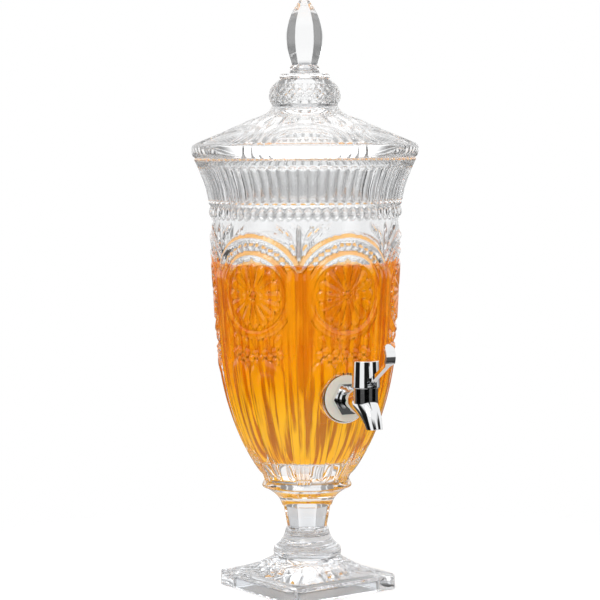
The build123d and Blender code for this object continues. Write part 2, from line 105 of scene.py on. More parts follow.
ROOF_GROOVES = 28
GROOVE_DEPTH = 1.8
UNDER_RAYS = 40
RAY_DEPTH = 1.4


def roof_groove(ring):
    """The short radial grooves pressed into the roof of the plinth."""
    reach = np.hypot(ring[:, 0], ring[:, 1])
    turn = np.degrees(np.arctan2(ring[:, 0], -ring[:, 1])) - PLINTH_TURN
    across = repeat(turn, ROOF_GROOVES) * 2
    width = 0.3 + 0.35 * smooth(31, 47, reach)
    along = smooth(31, 37, reach) * (1 - smooth(46, 49, reach))
    return -GROOVE_DEPTH * np.clip(1 - np.abs(across / width), 0, 1) * along


def under_ray(ring):
    """The star pressed into the ceiling of the hollow under the plinth."""
    turn = np.degrees(np.arctan2(ring[:, 0], -ring[:, 1])) - PLINTH_TURN
    along = smooth(4, 14, np.hypot(ring[:, 0], ring[:, 1]))
    return -RAY_DEPTH * (1 - np.abs(repeat(turn, UNDER_RAYS) * 2)) * along


foot_rings = [
    square_ring(5.0, 4.0, RECESS_DEPTH, under_ray),
    square_ring(14.0, 9.0, RECESS_DEPTH, under_ray),
    square_ring(28.0, 9.0, RECESS_DEPTH, under_ray),
    square_ring(PLINTH_HALF - RECESS_MARGIN - 4.0, RECESS_CORNER - 1.5, RECESS_DEPTH, under_ray),
    square_ring(PLINTH_HALF - RECESS_MARGIN - 1.5, RECESS_CORNER - 1.5, RECESS_DEPTH),
    square_ring(PLINTH_HALF - RECESS_MARGIN - 0.4, RECESS_CORNER - 0.4, RECESS_DEPTH - 0.4),
    square_ring(PLINTH_HALF - RECESS_MARGIN, RECESS_CORNER, RECESS_DEPTH - 1.5),
    square_ring(PLINTH_HALF - RECESS_MARGIN, RECESS_CORNER, PLINTH_EDGE),
    square_ring(PLINTH_HALF - RECESS_MARGIN + PLINTH_EDGE, RECESS_CORNER + PLINTH_EDGE, 0),
    square_ring(PLINTH_HALF - PLINTH_EDGE, PLINTH_CORNER - PLINTH_EDGE, 0),
    square_ring(PLINTH_HALF - 0.3 * PLINTH_EDGE, PLINTH_CORNER - 0.3 * PLINTH_EDGE, 0.3 * PLINTH_EDGE),
    square_ring(PLINTH_HALF, PLINTH_CORNER, PLINTH_EDGE),
    square_ring(PLINTH_HALF, PLINTH_CORNER, PLINTH_HEIGHT - PLINTH_EDGE),
    square_ring(PLINTH_HALF - 0.3 * PLINTH_EDGE, PLINTH_CORNER, PLINTH_HEIGHT - 0.3 * PLINTH_EDGE),
]
ROOF_ROWS = 14
ROOF_CORNER = 24.0
for share in np.linspace(0.03, 1, ROOF_ROWS):
    foot_rings.append(square_ring(
        PLINTH_HALF + share * (RING_RADIUS - PLINTH_HALF),
        PLINTH_CORNER + share * (ROOF_CORNER - PLINTH_CORNER),
        PLINTH_HEIGHT + (RING_LEVEL - PLINTH_HEIGHT) * (share + share**3) / 2,
        roof_groove))

STEM_RINGS = [
    (RING_LEVEL, 28.9), (29.2, 29.6), (31.0, 30.15), (33.0, 30.2), (35.0, 30.1), (36.8, 29.4),
    (37.6, 28.3), (39.5, 26.0), (42.0, 23.6), (45.0, 21.6), (48.5, 20.1), (52.0, 19.2), (54.2, 19.0),
]


def ring_points(radius, level, columns, turn=0.0):
    """A ring of points; radius and level are numbers or one value for each column."""
    turns = np.radians(np.arange(columns) * 360 / columns + turn)
    ring = np.empty((columns, 3))
    ring[:, 0] = radius * np.sin(turns)
    ring[:, 1] = -radius * np.cos(turns)
    ring[:, 2] = level
    return ring


for level, radius in STEM_RINGS:
    foot_rings.append(ring_points(radius, level, FOOT_COLUMNS))

SHAFT_SIDES = 8
SHAFT_TURN = -26.0
SHAFT_LOW, SHAFT_HIGH = 54.8, 74.6
SHAFT_LOW_FLAT, SHAFT_HIGH_FLAT = 17.2, 20.6


def facets(flat, sides, turn, columns, start=0.0):
    """The radius of a prism with flat sides, one of which faces the turn."""
    across = repeat(np.arange(columns) * 360 / columns + start - turn, sides) * 360 / sides
    return flat / np.cos(np.radians(across))


for share in (0, 0.06, 0.94, 1):
    flat = SHAFT_LOW_FLAT + share * (SHAFT_HIGH_FLAT - SHAFT_LOW_FLAT)
    foot_rings.append(ring_points(facets(flat, SHAFT_SIDES, SHAFT_TURN, FOOT_COLUMNS),
                                  SHAFT_LOW + share * (SHAFT_HIGH - SHAFT_LOW), FOOT_COLUMNS))
CUP_RINGS = [
    (75.0, 22.3), (77.0, 22.9), (80.0, 24.2), (83.0, 26.3), (86.0, 29.4), (88.6, 33.0), (90.4, 36.2),
    (91.4, 38.6), (92.0, 39.5), (92.8, 39.7), (94.0, 39.3), (96.0, 38.3), (97.4, 37.3),
]
for level, radius in CUP_RINGS:
    foot_rings.append(ring_points(radius, level, FOOT_COLUMNS))

# Bowl: clear pressed glass in one piece with the pedestal. The mould gives the outside its relief, and the
# plunger leaves the inside smooth. Levels and widths are on the outside, and heights are out from the wall.
MM = 0.001
JAR_COLUMNS = 528
PANELS = 6


def bead(distance, half_width):
    """The round section of a bead, 1 on its middle line and 0 from its edge on."""
    return np.sqrt(np.clip(1 - (distance / half_width) ** 2, 0, 1))


def edge_round(inside, width):
    """A flat that rolls over at its edge: 0 at the outline, 1 once it is a width inside."""
    return np.sqrt(np.clip(1 - (1 - np.clip(inside / width, 0, 1)) ** 2, 0, 1))


def wall_radius(node_names, outward):
    """The plain turned wall of some nodes behind the tap, as a function from level to radius."""
    levels, radii = [], []
    for name in node_names:
        mesh = cad[name].data
        places = np.array([v.co for v in mesh.vertices]) / MM
        for face in mesh.polygons:
            out = Vector((face.center.x, face.center.y))
            lean = out.normalized().dot(face.normal.xy)
            if face.center.y > 0.01 and lean * outward > 0.3:
                for index in face.vertices:
                    levels.append(places[index][2])
                    radii.append(math.hypot(places[index][0], places[index][1]))
    order = np.argsort(levels)
    levels, radii = np.array(levels)[order], np.array(radii)[order]
    return lambda level: np.interp(level, levels, radii)


bowl_outside = wall_radius(["bowl_base", "bowl"], 1)
bowl_inside = wall_radius(["bowl_base", "bowl"], -1)
WELD_LEVEL, RIM_LEVEL = 98.0, 383.0
WALL_SETBACK = 2.1
FLUTES = 66
FLUTE_LOW, FLUTE_HIGH, FLUTE_DEPTH = 344.0, 376.0, 2.1
DENTIL_LEVEL, DENTIL_HALF, DENTIL_HEIGHT = 336.0, 4.2, 2.0
MEDALLION_LEVEL = 266.5
MEDALLION_HEIGHT = 2.3
BUTTON_RADIUS, BUTTON_HEIGHT = 3.4, 2.0
PETALS, PETAL_INNER, PETAL_OUTER, PETAL_TIP = 16, 4.2, 27.0, 3.4
HALO_RADIUS, HALO_HALF = 34.5, 3.0
BEADS_RADIUS, BEADS_HALF, BEADS_HEIGHT = 41.7, 2.2, 1.5
ARCH_RADIUS, ARCH_HALF = 48.5, 3.2
ARCH_BEADS = 40
ARCH_FOOT = 286.0
GARLAND_LEVEL, GARLAND_SAG, GARLAND_HALF, GARLAND_REACH = 217.0, 5.0, 27.0, 18.0
BERRY_PLACES = np.linspace(-24, 24, 11)
BERRY_STEP, BERRY_RADIUS, BERRY_HEIGHT = 4.1, 2.9, 2.2
LEAF_PLACES = (-22, -11, 0, 11, 22)
LEAF_LEVEL, LEAF_ROOT = 227.0, 226.0
LEAF_HALF_WIDTH, LEAF_HALF_LENGTH, LEAF_HEIGHT = 3.0, 5.5, 1.8
TONGUE_TOP, TONGUE_HEIGHT, TONGUE_SINK = 211.0, 2.6, 1.4
WIDE_TONGUE, SUNK_TONGUE, NARROW_TONGUE = (-6.3, 20.3), (-0.5, 14.5), (-23.6, -6.7)
RIB_PITCH, RIB_HEIGHT, RIB_WEB = 4.7, 2.4, 0.35
COLUMN_HALF, COLUMN_FADE = 1.5 * RIB_PITCH, 10.5
SPANDREL_RIB_HALF, SPANDREL_RIB_HEIGHT = 1.3, 2.0
SPANDREL_LEAVES = [(9, 317, 0.6), (16, 322, 1.0), (5.5, 306, 0.3)]
SPRIG_HALF_WIDTH, SPRIG_HALF_LENGTH, SPRIG_HEIGHT = 1.7, 5.0, 1.5


def flutes(turn, level):
    """Scooped flutes under the lip."""
    across = repeat(turn, FLUTES) * 2
    middle, half = (FLUTE_LOW + FLUTE_HIGH) / 2, (FLUTE_HIGH - FLUTE_LOW) / 2
    ends = np.clip(1 - np.abs((level - middle) / half) ** 6, 0, 1)
    return -FLUTE_DEPTH * np.clip(1 - across**2, 0, 1) * np.sqrt(ends)


def dentils(turn, level):
    """The row of small beads under the flutes, one to a flute."""
    across = repeat(turn + 180 / FLUTES, FLUTES) * 2 / 0.86
    return DENTIL_HEIGHT * bead(np.hypot(across, (level - DENTIL_LEVEL) / DENTIL_HALF), 1)


def petals(reach, angle):
    """The sunburst's ring of round petals with round ends."""
    across = repeat(np.degrees(angle), PETALS) * 2
    ends = np.minimum(PETAL_OUTER - PETAL_TIP * across**2 - reach,
                      reach - PETAL_INNER + 0.3 * PETAL_TIP * (1 - across**2))
    return bead(across, 1.03) * edge_round(ends, 2.2)


def medallion(side, rise):
    """The sunburst in its ring, with the beaded arch over it."""
    reach, angle = np.hypot(side, rise), np.arctan2(side, rise)
    height = BUTTON_HEIGHT * bead(reach, BUTTON_RADIUS)
    height = np.maximum(height, MEDALLION_HEIGHT * petals(reach, angle))
    height = np.maximum(height, MEDALLION_HEIGHT * bead(reach - HALO_RADIUS, HALO_HALF))
    over = smooth(-2, 3, rise + MEDALLION_LEVEL - ARCH_FOOT)
    across = repeat(np.degrees(angle), ARCH_BEADS) * 2 / 0.8
    beads = bead(np.hypot(across, (reach - BEADS_RADIUS) / BEADS_HALF), 1)
    height = np.maximum(height, BEADS_HEIGHT * beads * over)
    return np.maximum(height, MEDALLION_HEIGHT * bead(reach - ARCH_RADIUS, ARCH_HALF) * over)


def column(turn, level):
    """Three round ribs side by side on a low web, from the feet of the arches down to the weld."""
    within = np.abs(turn) < COLUMN_HALF
    ribs = bead(repeat(turn, 360 / RIB_PITCH) * 2, 1.04) * within
    side = RIB_WEB * (1 - smooth(COLUMN_HALF, COLUMN_FADE, np.abs(turn)))
    top = 1 - smooth(ARCH_FOOT - 6, ARCH_FOOT + 4, level)
    return RIB_HEIGHT * np.maximum(RIB_WEB * within + (1 - RIB_WEB) * ribs, side) * top


def tongue(turn, level, radius, span, top):
    """How far, in millimetres, a point lies inside a tongue with a round top; its span is in degrees."""
    low_turn, high_turn = span
    half = np.radians(high_turn - low_turn) / 2 * radius
    side = np.radians(turn - (low_turn + high_turn) / 2) * radius
    over = np.maximum(level - (top - half), 0)
    return half - np.hypot(side, over)


def tongues(turn, level, radius):
    """A wide tongue with a second one sunk in it, beside a narrow tongue."""
    wide = edge_round(tongue(turn, level, radius, WIDE_TONGUE, TONGUE_TOP), 9.0)
    sunk = edge_round(tongue(turn, level, radius, SUNK_TONGUE, TONGUE_TOP - 11), 4.0)
    narrow = edge_round(tongue(turn, level, radius, NARROW_TONGUE, TONGUE_TOP - 1), 7.0)
    foot = smooth(WELD_LEVEL + 2, WELD_LEVEL + 9, level)
    return (TONGUE_HEIGHT * np.maximum(wide, narrow) - TONGUE_SINK * sunk) * foot


def swag_level(side):
    """The level of the garland's middle line, at a distance from the middle of its panel."""
    return GARLAND_LEVEL - GARLAND_SAG * (1 - (side / GARLAND_HALF) ** 2)


def garland(side, level):
    """A swag of berries and leaves over the tongues."""
    height = np.zeros_like(side)
    for index, step in enumerate(BERRY_PLACES):
        for row in (-1, 0, 1):
            if (index + row) % 2 == 0:
                centre = swag_level(step) + BERRY_STEP * row
                berry = bead(np.hypot(side - step, level - centre), BERRY_RADIUS)
                height = np.maximum(height, BERRY_HEIGHT * berry)
    for step in LEAF_PLACES:
        lean = (side - step) - 0.25 * np.sign(step) * (level - LEAF_ROOT)
        leaf = bead(np.hypot(lean / LEAF_HALF_WIDTH, (level - LEAF_LEVEL) / LEAF_HALF_LENGTH), 1)
        veins = 0.6 + 0.4 * np.abs(np.sin(lean * 1.2))
        height = np.maximum(height, LEAF_HEIGHT * leaf * veins)
    return np.where(np.abs(level - swag_level(side)) < GARLAND_REACH, height, 0)


def spandrel(side, level):
    """The rib and leaves between two arches; side is counted from the column.

    Each leaf has a distance from the rib, a level and a lean.
    """
    inside = smooth(294, 300, level) * (1 - smooth(322, 328, level))
    rib = bead(side, SPANDREL_RIB_HALF) * inside
    sprig = np.zeros_like(side)
    for centre, rise, lean in SPANDREL_LEAVES:
        along = (np.abs(side) - centre) - lean * (level - rise)
        leaf = bead(np.hypot(along / SPRIG_HALF_WIDTH, (level - rise) / SPRIG_HALF_LENGTH), 1)
        sprig = np.maximum(sprig, leaf)
    return np.maximum(SPANDREL_RIB_HEIGHT * rib, SPRIG_HEIGHT * sprig)


def relief(turns, level):
    """Height of the pressed relief on one ring of the bowl, out from the drawn wall."""
    radius = bowl_outside(level)
    level = np.full_like(turns, level)
    in_panel = repeat(turns, PANELS) * 360 / PANELS
    in_column = repeat(turns - 180 / PANELS, PANELS) * 360 / PANELS
    side = np.radians(in_panel) * radius
    height = medallion(side, level - MEDALLION_LEVEL)
    height = np.maximum(height, column(in_column, level))
    height = np.maximum(height, spandrel(np.radians(in_column) * radius, level))
    height = np.maximum(height, tongues(in_panel, level, radius))
    height = np.maximum(height, garland(side, level))
    setback = WALL_SETBACK * smooth(WELD_LEVEL, WELD_LEVEL + 6, level)
    setback = setback * (1 - smooth(FLUTE_LOW - 4, FLUTE_LOW, level))
    return np.maximum(height, dentils(turns, level)) - setback + flutes(turns, level)


def spaced(low, high, step):
    """Levels from low up to, not including, high, about a step apart."""
    return np.linspace(low, high, max(1, round((high - low) / step)), endpoint=False)


bowl_levels = np.concatenate([
    spaced(WELD_LEVEL + 0.6, 108, 2.4), spaced(108, 196, 5.5), spaced(196, 206, 2.0), spaced(206, 234, 1.45),
    spaced(234, 240, 2.0), spaced(240, 331, 1.65), spaced(331, 341, 1.2), spaced(341, 343, 1.5),
    spaced(343, 348, 1.0), spaced(348, 372, 7.0), spaced(372, 377, 1.0), [378.0, 380.0],
])
column_turns = np.arange(JAR_COLUMNS) * 360 / JAR_COLUMNS
bowl_rings = [
    ring_points(bowl_outside(level) + relief(column_turns, level), level, JAR_COLUMNS)
    for level in bowl_levels]
LIP = [(98.0, 381.6), (97.6, 382.6), (96.7, 383.0), (93.4, 383.0), (92.6, 382.7), (92.0, 381.9)]
bowl_rings += [ring_points(radius, level, JAR_COLUMNS) for radius, level in LIP]
FLOOR_LEVEL = 118.0
DRINK_LEVEL = 291.0
MENISCUS = 1.6
DRINK_BRIM = DRINK_LEVEL + MENISCUS
wet_levels = np.concatenate([np.linspace(DRINK_BRIM, 164, 8), [154, 144, 135, 128, 123, 119.8]])
inner_levels = np.concatenate([np.linspace(380, 336, 5), [312], wet_levels])
bowl_rings += [ring_points(bowl_inside(level), level, FOOT_COLUMNS) for level in inner_levels]
FLOOR_EDGE = [(36.6, FLOOR_LEVEL + 0.3), (34, FLOOR_LEVEL)]
bowl_rings += [ring_points(radius, level, FOOT_COLUMNS) for radius, level in FLOOR_EDGE]


def skin(name, rings, first_pole, last_pole):
    """A closed mesh over rings of points, from one pole to the other.

    A ring may have half as many points as its neighbour.
    """
    starts = np.cumsum([1] + [len(ring) for ring in rings])
    points = np.vstack([[first_pole], *rings, [last_pole]]) * MM
    last = len(points) - 1
    faces = []
    for j in range(len(rings[0])):
        faces.append((0, 1 + (j + 1) % len(rings[0]), 1 + j))
    for row in range(len(rings) - 1):
        low, high = starts[row], starts[row + 1]
        n_low, n_high = len(rings[row]), len(rings[row + 1])
        for j in range(min(n_low, n_high)):
            k = (j + 1) % min(n_low, n_high)
            if n_low == n_high:
                faces.append((low + j, low + k, high + k, high + j))
            elif n_low < n_high:
                faces.append((low + j, high + 2 * j + 1, high + 2 * j))
                faces.append((low + j, low + k, high + 2 * k, high + 2 * j + 1))
            else:
                faces.append((low + 2 * j, low + 2 * j + 1, high + j))
                faces.append((low + 2 * j + 1, low + 2 * k, high + k, high + j))
    low, count = starts[-2], len(rings[-1])
    for j in range(count):
        faces.append((low + j, low + (j + 1) % count, last))
    mesh = bpy.data.meshes.new(name)
    mesh.from_pydata(points.tolist(), [], [tuple(int(i) for i in face) for face in faces])
    mesh.update()
    piece = bpy.data.objects.new(name, mesh)
    scene.collection.objects.link(piece)
    return piece


jar = skin("jar_glass", foot_rings + bowl_rings, (0, 0, RECESS_DEPTH), (0, 0, FLOOR_LEVEL))

# The tap's seat on the bowl: a flat boss outside and a flat pad inside, pressed with the wall, and the
# shank's hole, drilled through both.
TAP_LEVEL = 178.0
BOSS_FACE = 76.638
BOSS_RADIUS = 22.0
SEAT_THICKNESS = 12.0
PAD_RADIUS = 16.0
PAD_EDGE = 0.8
HOLE_RADIUS = 8.2
BEYOND = 30.0


def lathe(name, outline, columns=96):
    """A closed turned solid on the shank's axis, from (distance out from the boss, radius) pairs."""
    rings = []
    for out, radius in outline:
        turns = np.radians(np.arange(columns) * 360 / columns)
        rings.append(np.stack([radius * np.sin(turns), np.full(columns, -(BOSS_FACE + out)),
                               TAP_LEVEL + radius * np.cos(turns)], axis=1))
    first = (0, -(BOSS_FACE + outline[0][0]), TAP_LEVEL)
    final = (0, -(BOSS_FACE + outline[-1][0]), TAP_LEVEL)
    return skin(name, rings, first, final)


def cut(piece, tool, operation):
    """Applies a solid to a piece and removes it."""
    step = piece.modifiers.new("cut", "BOOLEAN")
    step.operation = operation
    step.solver = "MANIFOLD"
    step.object = tool
    done = bpy.data.meshes.new_from_object(piece.evaluated_get(bpy.context.evaluated_depsgraph_get()))
    piece.modifiers.clear()
    old, piece.data = piece.data, done
    bpy.data.meshes.remove(old)
    bpy.data.objects.remove(tool)


def shade(piece, sharp_angle):
    """Smooth faces, with a crease along edges that turn by more than an angle in degrees."""
    piece.data.shade_smooth()
    piece.data.set_sharp_from_angle(angle=math.radians(sharp_angle))


BOSS_OUTLINE = [(-SEAT_THICKNESS + 1.0, BOSS_RADIUS - 0.5), (-SEAT_THICKNESS + 1.5, BOSS_RADIUS),
                (-1.5, BOSS_RADIUS), (-0.7, BOSS_RADIUS - 0.22), (-0.2, BOSS_RADIUS - 0.75),
                (0, BOSS_RADIUS - 1.5)]
cut(jar, lathe("boss", BOSS_OUTLINE), "UNION")
cut(jar, lathe("spot_face", [(0, BOSS_RADIUS), (BEYOND, BOSS_RADIUS)]), "DIFFERENCE")
cut(jar, lathe("pad", [(-SEAT_THICKNESS, PAD_RADIUS - PAD_EDGE), (-SEAT_THICKNESS + PAD_EDGE, PAD_RADIUS),
                       (-1, PAD_RADIUS)]), "UNION")
cut(jar, lathe("pad_face", [(-SEAT_THICKNESS - PAD_RADIUS, PAD_RADIUS + 0.05),
                            (-SEAT_THICKNESS, PAD_RADIUS + 0.05)]), "DIFFERENCE")
cut(jar, lathe("hole", [(-BEYOND, HOLE_RADIUS), (BEYOND, HOLE_RADIUS)]), "DIFFERENCE")
shade(jar, 42)


# The glass of the pedestal and the bowl: clear, with slow waves from the mould. Its grooves hold painted
# shade, dark lines put into its colour, and where it is solid, in the foot and the floor, it is a little
# greyer. The faces that the drink wets bend the light less than those in the air.
class Value:
    """An output of a node. Arithmetic on it adds Math nodes to its tree."""

    def __init__(self, socket):
        self.socket = socket
        self.tree = socket.id_data

    @staticmethod
    def node(tree, kind, settings, inputs, output=0):
        """A node of a type: its settings first, then a value or a link for each socket."""
        made = tree.nodes.new(kind)
        for name, setting in settings.items():
            if name == "stops":
                while len(made.color_ramp.elements) < len(setting):
                    made.color_ramp.elements.new(0.5)
                for stop, (place, colour) in zip(made.color_ramp.elements, setting):
                    stop.position = place
                    stop.color = colour
            else:
                setattr(made, name, setting)
        for name, given in inputs.items():
            if isinstance(given, Value):
                tree.links.new(given.socket, made.inputs[name])
            else:
                made.inputs[name].default_value = given
        return Value(made.outputs[output])

    def math(self, operation, first, second):
        """A Math node on two values or numbers, in this value's tree."""
        return Value.node(self.tree, "ShaderNodeMath", {"operation": operation}, {0: first, 1: second})

    def __add__(self, other):
        return self.math("ADD", self, other)

    def __sub__(self, other):
        return self.math("SUBTRACT", self, other)

    def __mul__(self, other):
        return self.math("MULTIPLY", self, other)

    def __rsub__(self, other):
        return self.math("SUBTRACT", other, self)

    __radd__ = __add__
    __rmul__ = __mul__


def finish(name, shader_inputs, surface=None):
    """A material with one main shader; surface works out what varies over it from the node tree."""
    material = bpy.data.materials.new(name)
    material.use_nodes = True
    tree = material.node_tree
    shader = tree.nodes["Principled BSDF"]
    for socket, given in shader_inputs.items():
        shader.inputs[socket].default_value = given
    if surface:
        for socket, given in surface(tree).items():
            tree.links.new(given.socket, shader.inputs[socket])
    return material


def object_noise(tree, scale, detail):
    """Soft noise fixed to the piece, in features per metre."""
    place = Value.node(tree, "ShaderNodeTexCoord", {}, {}, "Object")
    return Value.node(tree, "ShaderNodeTexNoise", {}, {"Vector": place, "Scale": scale, "Detail": detail})


def soft_step(value, low, high):
    """A soft step in nodes, from 0 at low to 1 at high."""
    return Value.node(value.tree, "ShaderNodeMapRange", {"interpolation_type": "SMOOTHSTEP"},
                      {"Value": value, "From Min": low, "From Max": high})


def blend_colour(share, first, second):
    """The first colour where the share is 0 and the second where it is 1."""
    return Value.node(share.tree, "ShaderNodeMix", {"data_type": "RGBA"}, {0: share, 6: first, 7: second}, 2)


GLASS_INDEX, DRINK_INDEX = 1.52, 1.34
GLASS_TINT = (0.976, 0.981, 0.985, 1)
FOOT_TINT = (0.895, 0.912, 0.935, 1)
# Painted shade: the dark colour the glass takes in its grooves, standing in for the dark lines that light
# draws there.
GROOVE_PAINTED_SHADE = (0.16, 0.165, 0.18, 1)
GROOVE_SHADE_START, GROOVE_SHADE_FULL = 0.492, 0.442
FLOOR_FADE = 12.0


def pressed_surface(tree):
    """Slow waves from the mould, faint haze where it was rougher, painted shade in the grooves and a greyer
    solid foot.
    """
    waves = object_noise(tree, 55.0, 2.0)
    bump = Value.node(tree, "ShaderNodeBump", {}, {"Height": waves, "Strength": 0.05, "Distance": 0.001})
    haze = object_noise(tree, 140.0, 3.0)
    fold = Value.node(tree, "ShaderNodeNewGeometry", {}, {}, "Pointiness")
    # Painted shade: where the surface folds inward, in the relief's grooves, the glass's colour turns dark.
    groove = soft_step(fold, GROOVE_SHADE_START, GROOVE_SHADE_FULL)
    spot = Value.node(tree, "ShaderNodeTexCoord", {}, {}, "Object")
    level = Value.node(tree, "ShaderNodeSeparateXYZ", {}, {"Vector": spot}, "Z")
    solid = soft_step(level, FLOOR_LEVEL * MM, (FLOOR_LEVEL - FLOOR_FADE) * MM)
    glass_tint_and_groove_shade = blend_colour(groove, blend_colour(solid, GLASS_TINT, FOOT_TINT), GROOVE_PAINTED_SHADE)
    return {"Base Color": glass_tint_and_groove_shade, "Normal": bump, "Roughness": haze * 0.02}


clear_glass = finish("clear_glass", {"Transmission Weight": 1.0, "IOR": GLASS_INDEX}, pressed_surface)
wetted_glass = finish("wetted_glass", {
    "Base Color": GLASS_TINT, "Transmission Weight": 1.0, "IOR": GLASS_INDEX / DRINK_INDEX,
    "Roughness": 0.0})


def dress(piece, *materials):
    """Gives a piece its materials."""
    piece.data.materials.clear()
    for material in materials:
        piece.data.materials.append(material)


def is_wetted(face):
    """Whether a face of the jar lies against the drink: the inner wall, the floor and the pad."""
    x, y, z = face.center / MM
    inside = math.hypot(x, y) < bowl_inside(z) + 0.4
    in_hole = math.hypot(x, z - TAP_LEVEL) < HOLE_RADIUS + 0.1 and y < 0
    return FLOOR_LEVEL - 0.2 < z < DRINK_BRIM and inside and not in_hole


dress(jar, clear_glass, wetted_glass)
for face in jar.data.polygons:
    face.material_index = int(is_wetted(face))
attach(jar, "dispenser")
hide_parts("pedestal", "bowl_base", "bowl")

# The drink: an amber filling up to the arches, contents rather than a piece of the dispenser. Streaks of
# pulp cloud its sides, and its top is golden; the pulp also glows faintly in its own colour, painted light,
# though no lamp is in the drink. The bowl's wetted faces bend the light between glass and drink, so of the
# drink's own faces only the level top does.
DRINK_GAP = 0.02
TOP_COLOUR = (0.9, 0.58, 0.16, 1)
DEEP_STOPS = [(0.0, (0.60, 0.10, 0.001, 1)), (1.0, (0.36, 0.115, 0.001, 1))]
LIGHT_STOPS = [(0.0, (1.0, 0.38, 0.004, 1)), (0.5, (1.0, 0.46, 0.005, 1)), (1.0, (1.0, 0.60, 0.010, 1))]
SIDE_CLOUD, DEEP_CLOUD, TOP_CLOUD = 0.38, 0.30, 0.55
BODY_COLOUR, BODY_DENSITY = (0.975, 0.85, 0.0, 1), 40.0
PULP_THIN_LEVEL, PULP_THICK_LEVEL = 235.0, 150.0
WASHER_THICKNESS = 3.0
NUT_START = -SEAT_THICKNESS - WASHER_THICKNESS
NUT_END = NUT_START - 8.0
NUT_ROOM, SHANK_ROOM, SHANK_END = 15.1, 8.0, -28.0
STEP = 0.05
drink_rings = [
    ring_points(radius - DRINK_GAP, level + DRINK_GAP, FOOT_COLUMNS) for radius, level in FLOOR_EDGE[::-1]]
drink_rings += [
    ring_points(bowl_inside(level) - DRINK_GAP, level, FOOT_COLUMNS) for level in wet_levels[::-1]]
brim = bowl_inside(DRINK_BRIM)
drink_rings += [
    ring_points(brim - 0.3 * MENISCUS, DRINK_LEVEL + 0.5 * MENISCUS, FOOT_COLUMNS),
    ring_points(brim - 0.9 * MENISCUS, DRINK_LEVEL + 0.15 * MENISCUS, FOOT_COLUMNS),
    ring_points(brim - 2.0 * MENISCUS, DRINK_LEVEL, FOOT_COLUMNS),
]
drink = skin("drink", drink_rings, (0, 0, FLOOR_LEVEL + DRINK_GAP), (0, 0, DRINK_LEVEL))
cut(drink, lathe("seat_room", [(SHANK_END, SHANK_ROOM), (NUT_END - STEP, SHANK_ROOM), (NUT_END, NUT_ROOM),
                               (NUT_START, NUT_ROOM), (NUT_START + STEP, PAD_RADIUS + DRINK_GAP),
                               (BEYOND, PAD_RADIUS + DRINK_GAP)]), "DIFFERENCE")
shade(drink, 50)
amber = bpy.data.materials.new("amber_drink")
amber.use_nodes = True
amber_tree = amber.node_tree
amber_tree.nodes.remove(amber_tree.nodes["Principled BSDF"])
facing = Value.node(amber_tree, "ShaderNodeNewGeometry", {}, {}, "Normal")
upward = Value.node(amber_tree, "ShaderNodeSeparateXYZ", {}, {"Vector": facing}, "Z")
on_top = Value.node(amber_tree, "ShaderNodeMapRange", {},
                    {"Value": upward, "From Min": 0.1, "From Max": 0.15})
liquid = Value.node(amber_tree, "ShaderNodeBsdfPrincipled", {}, {
    "Base Color": (1, 1, 1, 1), "Transmission Weight": 1.0, "IOR": DRINK_INDEX, "Roughness": 0.0})
open_side = Value.node(amber_tree, "ShaderNodeBsdfTransparent", {}, {})
spot = Value.node(amber_tree, "ShaderNodeTexCoord", {}, {}, "Object")
height = Value.node(amber_tree, "ShaderNodeSeparateXYZ", {}, {"Vector": spot}, "Z")
depth = soft_step(height, PULP_THIN_LEVEL * MM, PULP_THICK_LEVEL * MM)
level_spot = Value.node(amber_tree, "ShaderNodeVectorMath", {"operation": "MULTIPLY"},
                        {0: spot, 1: (1, 1, 0)})
around = Value.node(amber_tree, "ShaderNodeVectorMath", {"operation": "NORMALIZE"}, {0: level_spot})
strands = Value.node(amber_tree, "ShaderNodeVectorMath", {"operation": "ADD"}, {0: around, 1: spot})
streak = Value.node(amber_tree, "ShaderNodeTexNoise", {}, {"Vector": strands, "Scale": 13.0, "Detail": 3.0})
swirl = soft_step(streak, 0.41, 0.55)
deep_colour = Value.node(amber_tree, "ShaderNodeValToRGB", {"stops": DEEP_STOPS}, {0: depth})
light_colour = Value.node(amber_tree, "ShaderNodeValToRGB", {"stops": LIGHT_STOPS}, {0: depth})
# This colour is both the pulp's own colour and the colour of its painted glow.
pulp_and_glow_colour = blend_colour(on_top, blend_colour(swirl, deep_colour, light_colour), TOP_COLOUR)
# Painted light: the pulp glows in its own colour, an emission that brightens it as if lit, though it is no
# lamp.
pulp_and_glow = Value.node(amber_tree, "ShaderNodeBsdfPrincipled", {}, {
    "Base Color": pulp_and_glow_colour, "Roughness": 0.6, "Specular IOR Level": 0.0,
    "Emission Color": pulp_and_glow_colour, "Emission Strength": 0.6})
clear_face = Value.node(amber_tree, "ShaderNodeMixShader", {}, {0: on_top, 1: open_side, 2: liquid})
cloud = (SIDE_CLOUD + depth * DEEP_CLOUD) * (1 - on_top) + on_top * TOP_CLOUD
drink_face = Value.node(amber_tree, "ShaderNodeMixShader", {}, {0: cloud, 1: clear_face, 2: pulp_and_glow})
drink_body = Value.node(amber_tree, "ShaderNodeVolumeAbsorption", {},
                        {"Color": BODY_COLOUR, "Density": BODY_DENSITY})
amber_tree.links.new(drink_face.socket, amber_tree.nodes["Material Output"].inputs["Surface"])
amber_tree.links.new(drink_body.socket, amber_tree.nodes["Material Output"].inputs["Volume"])
dress(drink, amber)
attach(drink, "dispenser")

# The tap: chromed zinc body, cap and lever, clamped through the bowl's hole between soft washers by a
# plastic nut. Out of sight are the lever's steel pin and the valve's stem, stopper, gland and seal.


def plated_surface(tree):
    """Bright plate with the faint waviness and handling marks of a polished casting."""
    waves = object_noise(tree, 240.0, 2.0)
    bump = Value.node(tree, "ShaderNodeBump", {}, {"Height": waves, "Strength": 0.03, "Distance": 0.0005})
    marks = object_noise(tree, 900.0, 4.0)
    return {"Normal": bump, "Roughness": 0.03 + marks * 0.05}


